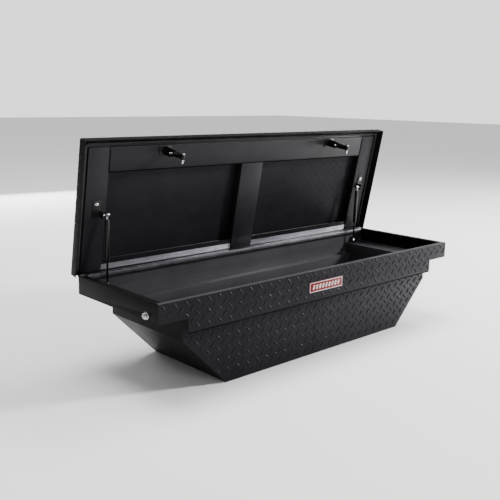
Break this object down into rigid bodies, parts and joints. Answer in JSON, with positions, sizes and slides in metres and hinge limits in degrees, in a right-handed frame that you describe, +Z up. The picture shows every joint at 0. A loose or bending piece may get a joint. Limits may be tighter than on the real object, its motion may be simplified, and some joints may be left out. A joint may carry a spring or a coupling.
{
  "type": "truck tool box",
  "caption": "Crossover tool box for a pickup bed: a tapered tub hung on two end wings, with a single rear-hinged lid held open by gas struts and push-button latches.",
  "frame": {"origin": "centre of the tub's flat underside", "axes": "+X to the right along the box, -Y to the front of the box, +Z up; the hinge is along the back"},
  "size_m": [1.8112, 0.6011, 0.9272],
  "materials": {
    "tread_plate": "satin black powder coat over raised tread pattern",
    "powder_coat": "satin black powder coat, fine orange peel",
    "seal_rubber": "matt black foam rubber",
    "badge_red": "glossy red with pale raised border",
    "zinc_steel": "zinc plated, brushed",
    "black_steel": "semi-gloss black",
    "chrome": "polished chrome"
  },
  "bodies": {
    "tub": {"front_panel": "tread_plate", "back_panel": "tread_plate", "bottom_panel": "powder_coat", "left_end_panel": "powder_coat", "right_end_panel": "powder_coat", "left_wing_shelf": "powder_coat", "right_wing_shelf": "powder_coat", "badge_plate": "badge_red", "hinge_tub_leaf": "zinc_steel", "hinge_pin": "zinc_steel", "strut_tub_bracket_left": "black_steel", "lock_body_left": "chrome", "lock_nut_left": "zinc_steel", "rod_guide_left": "black_steel", "latch_bracket_left": "black_steel", "strut_tub_bracket_right": "black_steel", "lock_body_right": "chrome", "lock_nut_right": "zinc_steel", "rod_guide_right": "black_steel", "latch_bracket_right": "black_steel"},
    "lid": {"lid_skin": "tread_plate", "lid_front_channel": "powder_coat", "lid_middle_channel": "powder_coat", "lid_left_channel": "powder_coat", "lid_right_channel": "powder_coat", "weatherstrip": "seal_rubber", "hinge_lid_leaf": "zinc_steel", "striker_bracket_left": "black_steel", "striker_bolt_left": "chrome", "striker_bar_left": "chrome", "strut_lid_bracket_left": "black_steel", "strut_bracket_bolt_left": "chrome", "striker_bracket_right": "black_steel", "striker_bolt_right": "chrome", "striker_bar_right": "chrome", "strut_lid_bracket_right": "black_steel", "strut_bracket_bolt_right": "chrome"},
    "strut_rod_left": {"strut_rod_left": "chrome", "strut_rod_socket_left": "zinc_steel"},
    "strut_tube_left": {"strut_tube_left": "black_steel", "strut_tube_socket_left": "zinc_steel"},
    "button_left": {"push_button_left": "chrome", "push_rod_left": "zinc_steel"},
    "key_left": {"key_plug_left": "zinc_steel"},
    "latch_left": {"latch_lever_left": "zinc_steel"},
    "strut_rod_right": {"strut_rod_right": "chrome", "strut_rod_socket_right": "zinc_steel"},
    "strut_tube_right": {"strut_tube_right": "black_steel", "strut_tube_socket_right": "zinc_steel"},
    "button_right": {"push_button_right": "chrome", "push_rod_right": "zinc_steel"},
    "key_right": {"key_plug_right": "zinc_steel"},
    "latch_right": {"latch_lever_right": "zinc_steel"}
  },
  "joints": [
    {"name": "lid_hinge", "type": "hinge", "parent": "tub", "child": "lid", "pos_m": [0, 0.2845, 0.373], "axis": [1, 0, 0], "range_deg": [0, 79], "stiffness_Nm_per_rad": 30, "springref_deg": -28.65},
    {"name": "strut_swing_left", "type": "hinge", "parent": "tub", "child": "strut_rod_left", "pos_m": [-0.777, 0.236, 0.331], "axis": [1, 0, 0], "range_deg": [0, 79.5]},
    {"name": "strut_stroke_left", "type": "slide", "parent": "strut_rod_left", "child": "strut_tube_left", "axis": [0, -0.0343, 0.9994], "range_m": [-0.082, 0]},
    {"name": "button_push_left", "type": "slide", "parent": "tub", "child": "button_left", "axis": [1, 0, 0], "range_m": [0, 0.006], "stiffness_N_per_m": 300, "springref_m": -0.004},
    {"name": "latch_turn_left", "type": "hinge", "parent": "tub", "child": "latch_left", "pos_m": [-0.545, -0.198, 0.311], "axis": [0, 1, 0], "range_deg": [0, 17.2]},
    {"name": "key_turn_left", "type": "hinge", "parent": "button_left", "child": "key_left", "pos_m": [-0.89, -0.198, 0.3275], "axis": [1, 0, 0], "range_deg": [0, 90]},
    {"name": "strut_swing_right", "type": "hinge", "parent": "tub", "child": "strut_rod_right", "pos_m": [0.777, 0.236, 0.331], "axis": [1, 0, 0], "range_deg": [0, 79.5]},
    {"name": "strut_stroke_right", "type": "slide", "parent": "strut_rod_right", "child": "strut_tube_right", "axis": [0, -0.0343, 0.9994], "range_m": [-0.082, 0]},
    {"name": "button_push_right", "type": "slide", "parent": "tub", "child": "button_right", "axis": [-1, 0, 0], "range_m": [0, 0.006], "stiffness_N_per_m": 300, "springref_m": -0.004},
    {"name": "latch_turn_right", "type": "hinge", "parent": "tub", "child": "latch_right", "pos_m": [0.545, -0.198, 0.311], "axis": [0, -1, 0], "range_deg": [0, 17.2]},
    {"name": "key_turn_right", "type": "hinge", "parent": "button_right", "child": "key_right", "pos_m": [0.89, -0.198, 0.3275], "axis": [1, 0, 0], "range_deg": [0, 90]}
  ],
  "couplings": [
    {"joint": "strut_swing_left", "follows": "lid_hinge", "ratio": 1.0028},
    {"joint": "strut_stroke_left", "follows": "lid_hinge", "m_per_rad": -0.059191},
    {"joint": "latch_turn_left", "follows": "button_push_left", "rad_per_m": 49.451},
    {"joint": "strut_swing_right", "follows": "lid_hinge", "ratio": 1.0028},
    {"joint": "strut_stroke_right", "follows": "lid_hinge", "m_per_rad": -0.059191},
    {"joint": "latch_turn_right", "follows": "button_push_right", "rad_per_m": 49.451}
  ]
}
